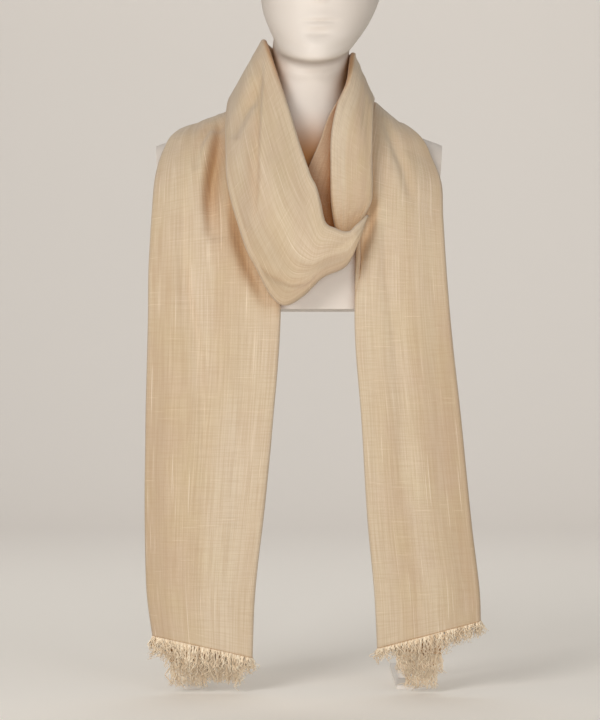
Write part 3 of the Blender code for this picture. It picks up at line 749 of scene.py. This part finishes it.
def yarns(name, roots, tips, clump_tips, radius, chance, frizz):
    """Loose yarns from their roots down to their tips, drawn together towards each clump's tip."""
    count = len(roots)
    t = np.linspace(0, 1, YARN_STEPS + 1)[None, :, None]
    gather = chance.uniform(*YARN_GATHER, (count, 1, 1)) * np.sin(np.pi / 2 * t) ** 1.6
    straight = roots[:, None] * (1 - t) + tips[:, None] * t
    drawn = roots[:, None] * (1 - t) + clump_tips[:, None] * t
    path = straight * (1 - gather) + drawn * gather
    length = np.linalg.norm(tips - roots, axis=1)[:, None]
    for axis, size in ((0, 1.0), (1, 0.6)):
        for waves, share in YARN_WAVES:
            phase = chance.uniform(0, 2 * math.pi, (count, 1))
            bend = chance.normal(0, 1, (count, 1)) * frizz * size * share
            turns = waves * chance.uniform(0.7, 1.3, (count, 1)) * length / YARN_RUN
            wave = np.sin(2 * math.pi * turns * t[:, :, 0] + phase) - np.sin(phase)
            path[:, :, axis] += bend * wave * t[:, :, 0] ** 0.8
    path[:, :, 2] = np.maximum(path[:, :, 2], YARN_LOW)
    tangent = unit(np.gradient(path, axis=1))
    side = unit(np.cross(tangent, np.array([0.0, 1.0, 0.0])))
    up = np.cross(side, tangent)
    thin = radius * chance.uniform(*YARN_THICKNESS, (count, 1, 1)) * (1.0 - YARN_TAPER * t)
    angle = 2 * math.pi * np.arange(YARN_SIDES) / YARN_SIDES
    ring = side[:, :, None] * np.cos(angle)[:, None] + up[:, :, None] * np.sin(angle)[:, None]
    points = path[:, :, None] + ring * thin[:, :, None]
    stride = (YARN_STEPS + 1) * YARN_SIDES
    quad = []
    down = []
    for s in range(YARN_STEPS):
        for k in range(YARN_SIDES):
            n = (k + 1) % YARN_SIDES
            a, b = s * YARN_SIDES, (s + 1) * YARN_SIDES
            quad.append((a + k, a + n, b + n, b + k))
            down.append((s, s, s + 1, s + 1))
    quad = np.array(quad)
    faces = (np.arange(count)[:, None, None] * stride + quad[None]).reshape(-1, 4)
    shade = chance.beta(2.0, 2.4, count)
    uv = np.stack(
        [
            np.repeat(shade, quad.size),
            np.tile(np.array(down).ravel() / YARN_STEPS, count),
        ],
        axis=-1,
    )
    caps = []
    for end in (0, YARN_STEPS):
        corners = np.arange(YARN_SIDES) + end * YARN_SIDES
        caps.append(np.arange(count)[:, None] * stride + (corners if end else corners[::-1]))
    piece = add_mesh(name, points.reshape(-1, 3), faces, FRAYED, YARN_MAP, uv)
    mesh = bmesh.new()
    mesh.from_mesh(piece.data)
    mesh.verts.ensure_lookup_table()
    layer = mesh.loops.layers.uv[YARN_MAP]
    for cap, depth in zip(caps, (0.0, 1.0)):
        for corners, tone in zip(cap, shade):
            made = mesh.faces.new([mesh.verts[int(c)] for c in corners])
            made.smooth = True
            for loop in made.loops:
                loop[layer].uv = (tone, depth)
    bmesh.ops.recalc_face_normals(mesh, faces=mesh.faces)
    mesh.to_mesh(piece.data)
    mesh.free()
    return piece


def hem_yarns(name, hem, ends, back_ends, clumps, per_clump, radius, chance, frizz):
    """Yarns round a closed hem. ends and back_ends are lines of (x, z) where they stop."""
    closed = np.vstack([hem, hem[:1]])
    at = np.concatenate([[0], np.cumsum(np.linalg.norm(np.diff(closed, axis=0), axis=1))])
    inner = hem.mean(axis=0)

    def hem_point(where):
        """The point of the hem at a length along it."""
        return np.stack([np.interp(where % at[-1], at, closed[:, k]) for k in range(3)], axis=1)

    clump_at = (np.arange(clumps) + chance.uniform(-0.25, 0.25, clumps)) * at[-1] / clumps
    which = np.repeat(np.arange(clumps), per_clump)
    spread = at[-1] / clumps
    roots = hem_point(clump_at[which] + chance.uniform(-spread, spread, len(which)))
    clump_roots = hem_point(clump_at)
    front = clump_roots[:, 1] < inner[1]
    ends, back_ends = np.array(ends, float), np.array(back_ends, float)
    stop = np.where(
        front,
        np.interp(clump_roots[:, 0], ends[:, 0], ends[:, 1]),
        np.interp(clump_roots[:, 0], back_ends[:, 0], back_ends[:, 1]),
    )
    stop = stop + chance.normal(0, 3.0, clumps)
    clump_tips = clump_roots.copy()
    clump_tips[:, 0] += chance.normal(0, 2.0, clumps)
    clump_tips[:, 1] += np.where(front, -1, 1) * chance.uniform(0.0, 3.0, clumps)
    clump_tips[:, 2] = np.maximum(stop, 3.0)
    tips = roots.copy()
    tips[:, 0] += chance.normal(0, 2.4, len(roots))
    tips[:, 1] += chance.normal(0, 1.6, len(roots))
    reach = (roots[:, 2] - clump_tips[which, 2]) * chance.uniform(0.62, 1.04, len(roots))
    tips[:, 2] = np.maximum(roots[:, 2] - reach, 2.6)
    drawn = clump_tips[which].copy()
    drawn[:, 2] = tips[:, 2]
    return yarns(name, roots + YARN_RISE, tips, drawn, radius, chance, frizz)


def strip_yarns(name, spec_line, ends, depth, clumps, per_clump, radius, chance, frizz):
    """Yarns along an open hem, from two (x, y, z) points, with a thickness of depth."""
    first, last = (np.array(p, float) for p in spec_line)
    clump_share = (np.arange(clumps) + chance.uniform(0.1, 0.9, clumps)) / clumps
    which = np.repeat(np.arange(clumps), per_clump)
    share = np.clip(clump_share[which] + chance.uniform(-0.8, 0.8, len(which)) / clumps, 0, 1)
    roots = first + share[:, None] * (last - first)
    roots[:, 1] += chance.uniform(-depth, depth, len(roots)) / 2
    ends = np.array(ends, float)
    clump_roots = first + clump_share[:, None] * (last - first)
    stop = np.interp(clump_roots[:, 0], ends[:, 0], ends[:, 1]) + chance.normal(0, 1.6, clumps)
    clump_tips = clump_roots.copy()
    clump_tips[:, 0] += chance.normal(0, 2.0, clumps)
    clump_tips[:, 1] += chance.uniform(-2.0, 1.0, clumps)
    tips = roots.copy()
    tips[:, 0] += chance.normal(0, 2.0, len(roots))
    tips[:, 1] += chance.normal(0, 1.2, len(roots))
    reach = (roots[:, 2] - stop[which]) * chance.uniform(0.8, 1.02, len(roots))
    tips[:, 2] = np.maximum(roots[:, 2] - reach, 2.6)
    drawn = clump_tips[which].copy()
    drawn[:, 2] = tips[:, 2]
    return yarns(name, roots + YARN_RISE, tips, drawn, radius, chance, frizz)


LEFT_ENDS = [
    (-194, 60), (-184, 42), (-173, 42), (-164, 38), (-156, 26), (-141, 20), (-122, 25), (-111, 15),
    (-100, 23), (-90, 20), (-81, 3), (-75, 18), (-63, 27), (-57, 33),
]
LEFT_BACK_ENDS = [(-194, 58), (-150, 36), (-110, 24), (-57, 26)]
LEFT_INNER_ENDS = [(-168, 12), (-159, 9), (-154, 8), (-124, 8), (-119, 13), (-96, 12), (-75, 14)]
RIGHT_ENDS = [
    (99, 42), (109, 42), (115, 50), (120, 50), (128, 44), (144, 41), (177, 44), (189, 55),
    (198, 57), (208, 64), (215, 67), (228, 74), (241, 80),
]
RIGHT_BACK_ENDS = [(99, 46), (150, 52), (200, 62), (241, 76)]
RIGHT_A_ENDS = [(138, 7), (144, 5), (172, 5), (178, 7)]
RIGHT_B_ENDS = [(126, 28), (136, 22), (177, 22), (184, 27)]


# ---------------------------------------------------------------------------------------------- bust
BUST_AROUND = 144
BUST_STEP = 4.0
FACE_STEP = 1.3
FACE_FROM, FACE_TO = 856.0, 908.0
BUST_SHARP = math.radians(50)


def bust():
    """The head, neck and shoulders on their solid's sections, with the face's soft forms."""
    table = np.array(BUST_SECTIONS, float)
    at = np.concatenate(
        [
            np.arange(table[0, 0], FACE_FROM, BUST_STEP),
            np.arange(FACE_FROM, FACE_TO, FACE_STEP),
            np.arange(FACE_TO, table[-1, 0], BUST_STEP),
            table[-1:, 0],
        ]
    )
    rows = smooth_rows(table[:, 0], table, at)
    angle = 2 * math.pi * np.arange(BUST_AROUND) / BUST_AROUND
    rings = []
    for row in rows:
        _, rise, mid_x, mid_y, half_width, front, back, power = row
        side = np.sign(np.cos(angle)) * np.abs(np.cos(angle)) ** (2 / power)
        depth = np.sign(np.sin(angle)) * np.abs(np.sin(angle)) ** (2 / power)
        reach = np.where(depth > 0, back, front)
        ring = np.stack(
            [mid_x + side * half_width, mid_y + depth * reach, row[0] + rise * depth], axis=1
        )
        towards = np.clip(-depth * 2.0 - 0.2, 0, 1)
        for form in FACE:
            near = ((ring[:, 0] - form.x) / form.wide) ** 2 + ((ring[:, 2] - form.z) / form.high) ** 2
            ring[:, 1] -= form.forward * np.exp(-near) * towards
        rings.append(ring)
    points = np.concatenate(rings)
    mesh = bmesh.new()
    verts = [mesh.verts.new(p) for p in points]
    faces, _ = grid_faces(len(rings), BUST_AROUND)
    for face in faces:
        mesh.faces.new([verts[k] for k in face])
    mesh.faces.new([verts[k] for k in range(BUST_AROUND)])
    crown = mesh.verts.new(CROWN)
    top = len(points) - BUST_AROUND
    for k in range(BUST_AROUND):
        mesh.faces.new((verts[top + k], verts[top + (k + 1) % BUST_AROUND], crown))
    for side in (-1, 1):
        cut = bmesh.ops.bisect_plane(
            mesh,
            geom=mesh.verts[:] + mesh.edges[:] + mesh.faces[:],
            dist=1e-3,
            plane_co=(side * STUB_REACH, 0, STUB_TOP),
            plane_no=(side * math.cos(STUB_LEAN), 0, -math.sin(STUB_LEAN)),
            clear_outer=True,
        )
        rim = [e for e in cut["geom_cut"] if isinstance(e, bmesh.types.BMEdge)]
        bmesh.ops.edgeloop_fill(mesh, edges=rim)
    bmesh.ops.recalc_face_normals(mesh, faces=mesh.faces)
    bmesh.ops.triangulate(mesh, faces=[f for f in mesh.faces if len(f.verts) > 4])
    mesh.verts.index_update()
    tree = BVHTree.FromPolygons(
        [v.co.copy() for v in mesh.verts], [[v.index for v in f.verts] for f in mesh.faces]
    )
    for vert in mesh.verts:
        vert.co = place(vert.co)
    data = bpy.data.meshes.new("bust_smooth")
    mesh.to_mesh(data)
    mesh.free()
    data.shade_smooth()
    data.set_sharp_from_angle(angle=BUST_SHARP)
    data.materials.append(PLASTER)
    piece = bpy.data.objects.new("bust_smooth", data)
    bpy.context.scene.collection.objects.link(piece)
    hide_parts("bust")
    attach(piece, "root")
    return tree


# --------------------------------------------------------------------------------------------- shawl
LAYER_RINGS = 40
LAYER_RING_LENGTH = 0.002  # metres of weave from ring to ring
LAYER_SHELL = SHELL * 0.6
HEM_SIDES = 5
HEM_RADIUS = 0.30
HEM_OUT = 0.45  # how far out of the hem its thread lies
HEM_CLUMPS, HEM_CLUMP_YARNS = 110, 5
LAYER_CLUMP = 2.2  # from clump to clump of an inner layer's fringe, and its depth
LAYER_CLUMP_YARNS = 6
SEED = 11


def inner_layer(name, node, left_low, right_low):
    """A layer inside a tail: the solid's box as a doubled sheet with round edges."""
    low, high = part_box(node)
    low, high = (np.array(p) / METRES - SHIFT for p in (low, high))
    wide, thick = high[0] - low[0], high[1] - low[1]
    rings = []
    for share in np.linspace(0, 1, LAYER_RINGS):
        ring = []
        flat = stadium(wide / 2, thick / 2)
        for across, height in flat:
            x = (low[0] + high[0]) / 2 + across
            bottom = left_low + (right_low - left_low) * (x - low[0]) / wide
            z = bottom + (high[2] - bottom) * share
            wave = 0.35 * math.sin(x * 0.21 + z * 0.02)
            ring.append((x, (low[1] + high[1]) / 2 + height + wave, z))
        rings.append(ring)
    skin = np.array(rings)
    faces, (corner_k, corner_i) = grid_faces(*skin.shape[0:2])
    round_it = corner_k / skin.shape[1] * 2 * wide * METRES
    uv = np.stack([round_it, corner_i * LAYER_RING_LENGTH], axis=-1)
    piece = add_mesh(name, skin.reshape(-1, 3), faces, LINEN, WEAVE_MAP, uv)
    shell = piece.modifiers.new("shell", "SOLIDIFY")
    shell.thickness = LAYER_SHELL
    shell.offset = -1.0
    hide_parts(node)
    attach(piece, "root")
    return piece


def hem_line(name, hem):
    """The thread that lies along a hem, paler than the cloth."""
    count = len(hem)
    middle = hem.mean(axis=0)
    points, faces, uv = [], [], []
    for k in range(count):
        ahead = unit(hem[(k + 1) % count] - hem[k - 1])
        out = unit((hem[k] - middle) * np.array([0.05, 1.0, 0.0]))
        up = np.cross(ahead, out)
        radius = HEM_RADIUS * (1 + 0.7 * noise.noise(Vector((k * 0.35, 3.1, 0.0))))
        sway = 0.5 * noise.noise(Vector((k * 0.2, 0.0, 7.7)))
        centre = hem[k] + out * HEM_OUT + np.array([0, 0, sway])
        for s in range(HEM_SIDES):
            angle = 2 * math.pi * s / HEM_SIDES
            points.append(centre + radius * (out * math.cos(angle) + up * math.sin(angle)))
        for s in range(HEM_SIDES):
            n, j = (s + 1) % HEM_SIDES, (k + 1) % count
            faces.append((k * HEM_SIDES + s, k * HEM_SIDES + n, j * HEM_SIDES + n, j * HEM_SIDES + s))
            uv += [(0.3, k / count)] * 4
    piece = add_mesh(name, np.array(points), faces, FRAYED, YARN_MAP, uv)
    mesh = bmesh.new()
    mesh.from_mesh(piece.data)
    bmesh.ops.recalc_face_normals(mesh, faces=mesh.faces)
    mesh.to_mesh(piece.data)
    mesh.free()
    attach(piece, "root")
    return piece


def shawl(bust_tree):
    """Both bands, the throat's layer, the inner layers, the fringes and the hems' threads."""
    chance = np.random.default_rng(SEED)
    throat, _, throat_tree = band("throat_band", THROAT_BAND, [], [bust_tree], seed=5.0)
    # The throat's layer takes a copy of the linen with darker painted shade.
    throat.data.materials[0] = SHADED_LINEN
    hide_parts("throat_layer")
    lower = [bust_tree, throat_tree]
    left, left_skin, left_tree = band("left_band", LEFT_BAND, LEFT_PRESSINGS, lower, seed=3.0)
    lower.append(left_tree)
    right, right_skin, _ = band("right_band", RIGHT_BAND, RIGHT_PRESSINGS, lower, seed=8.0)
    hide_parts("left_tail", "right_strand")
    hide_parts("right_tail", "front_loop")
    left_in = inner_layer("left_layer_a", "left_inner_a", 40, 46)
    right_in_a = inner_layer("right_layer_a", "right_inner_a", 35, 34)
    right_in_b = inner_layer("right_layer_b", "right_inner_b", 54, 50)
    left_fringe = hem_yarns(
        "left_yarns", left_skin[0], LEFT_ENDS, LEFT_BACK_ENDS, HEM_CLUMPS, HEM_CLUMP_YARNS,
        radius=0.85, chance=chance, frizz=3.6,
    )
    right_fringe = hem_yarns(
        "right_yarns", right_skin[0], RIGHT_ENDS, RIGHT_BACK_ENDS, HEM_CLUMPS, HEM_CLUMP_YARNS,
        radius=0.78, chance=chance, frizz=3.2,
    )
    layer_fringes = []
    for name, node, ends, line in (
        ("left_yarns_a", "left_inner_a", LEFT_INNER_ENDS, ((-168, 40), (-76, 46))),
        ("right_yarns_a", "right_inner_a", RIGHT_A_ENDS, ((139, 35), (178, 34))),
        ("right_yarns_b", "right_inner_b", RIGHT_B_ENDS, ((126, 54), (184, 50))),
    ):
        low, high = (np.array(p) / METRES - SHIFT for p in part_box(node))
        depth = (low[1] + high[1]) / 2
        root = [(x, depth, z) for x, z in line]
        clumps = int((line[1][0] - line[0][0]) / LAYER_CLUMP)
        made = strip_yarns(
            name, root, ends, LAYER_CLUMP, clumps, LAYER_CLUMP_YARNS,
            radius=0.80, chance=chance, frizz=3.2,
        )
        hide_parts(f"{node}_fringe")
        layer_fringes.append(made)
    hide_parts("left_fringe")
    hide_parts("right_fringe")
    left_hem = hem_line("left_hem_thread", left_skin[0])
    right_hem = hem_line("right_hem_thread", right_skin[0])
    for piece in (left, right, throat, left_fringe, right_fringe, *layer_fringes):
        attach(piece, "root")


# --------------------------------------------------------------------------------------------- stage
SWEEP_NEAR, SWEEP_FROM, SWEEP_RADIUS = -9.0, 3.0, 1.6  # its front, where it curves up, how widely
SWEEP_HEIGHT, SWEEP_SIDE = 9.0, 8.0
SWEEP_STEPS = 24
DAYLIGHT = (1.0, 0.985, 0.97)
WORLD_COLOUR, WORLD_STRENGTH = (1.0, 0.985, 0.96, 1.0), 0.31

Lamp = namedtuple("Lamp", "name at aim size power colour")

LAMPS = [
    Lamp("left", (-1.35, -2.4, 1.3), (0, 0, 0.5), (1.1, 1.3), 37.0, DAYLIGHT),
    Lamp("right", (1.5, -2.9, 0.8), (0, 0, 0.5), (1.3, 1.3), 14.0, DAYLIGHT),
    Lamp("low", (0.1, -3.6, 0.45), (0, 0, 0.45), (1.0, 0.6), 29.0, DAYLIGHT),
    Lamp("wall", (0.2, 2.4, 3.6), (0.2, 4.2, 0.9), (5.0, 0.9), 79.0, (1.0, 1.0, 1.0)),
]


def sweep():
    """A pale floor that curves up into a wall."""
    profile = [(SWEEP_NEAR, 0.0), (SWEEP_FROM, 0.0)]
    for k in range(1, SWEEP_STEPS + 1):
        angle = math.pi / 2 * k / SWEEP_STEPS
        run, rise = SWEEP_RADIUS * math.sin(angle), SWEEP_RADIUS * (1 - math.cos(angle))
        profile.append((SWEEP_FROM + run, rise))
    profile.append((SWEEP_FROM + SWEEP_RADIUS, SWEEP_HEIGHT))
    points, faces = [], []
    for x in (-SWEEP_SIDE, SWEEP_SIDE):
        points += [(x, y, z) for y, z in profile]
    count = len(profile)
    for k in range(count - 1):
        faces.append((k, k + 1, count + k + 1, count + k))
    data = bpy.data.meshes.new("sweep")
    data.from_pydata(points, [], faces)
    data.shade_smooth()
    data.materials.append(paper())
    obj = bpy.data.objects.new("sweep", data)
    bpy.context.scene.collection.objects.link(obj)


def paper():
    """Pale paper with painted light: lighter near the part than on the floor behind it and up the
    wall.
    """
    g = Graph("paper", roughness=0.9)
    where = g.node("ShaderNodeTexCoord", {}).outputs["Object"]
    back = g.node("ShaderNodeSeparateXYZ", {0: where}).outputs[1]
    g.colour(g.mix(g.ramp(back, 0.6, 3.0), rgb(252, 247, 239), rgb(215, 209, 202)))
    return g.material


def light(lamp):
    """A soft rectangular lamp that looks at its aim."""
    data = bpy.data.lights.new(lamp.name, "AREA")
    data.shape = "RECTANGLE"
    data.size, data.size_y = lamp.size
    data.energy = lamp.power
    data.color = lamp.colour
    obj = bpy.data.objects.new(lamp.name, data)
    obj.location = lamp.at
    towards = Vector(lamp.aim) - Vector(lamp.at)
    obj.rotation_euler = towards.to_track_quat("-Z", "Y").to_euler()
    bpy.context.scene.collection.objects.link(obj)


def lights():
    """The studio's even light and its lamps."""
    world = bpy.data.worlds.new("studio")
    world.use_nodes = True
    background = world.node_tree.nodes["Background"]
    background.inputs["Color"].default_value = WORLD_COLOUR
    background.inputs["Strength"].default_value = WORLD_STRENGTH
    bpy.context.scene.world = world
    for lamp in LAMPS:
        light(lamp)


# ---------------------------------------------------------------------------------------------- make
bpy.context.scene.view_settings.view_transform = "Standard"
camera()
# The colours given are the linens' painted shade; the darker one is for the throat's layer.
LINEN = linen("linen_weave", rgb(238, 200, 158))
SHADED_LINEN = linen("linen_weave_painted_shade", rgb(206, 138, 70))
FRAYED = frayed()
# The bust's last colour is its painted shade.
PLASTER = plain(
    "satin_bust", rgb(212, 203, 194), rgb(208, 198, 188), 0.5, 60.0, 0.0003, rgb(206, 158, 108)
)
PAINTED = plain("satin_steel", rgb(222, 216, 208), rgb(218, 211, 203), 0.35, 300.0, 0.0001)
for side_name in ("left", "right"):
    for part_name in ("socket", "post", "foot"):
        node_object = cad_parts[f"{side_name}_{part_name}"]
        node_object.data.materials.clear()
        node_object.data.materials.append(PAINTED)
shawl(bust())
sweep()
lights()
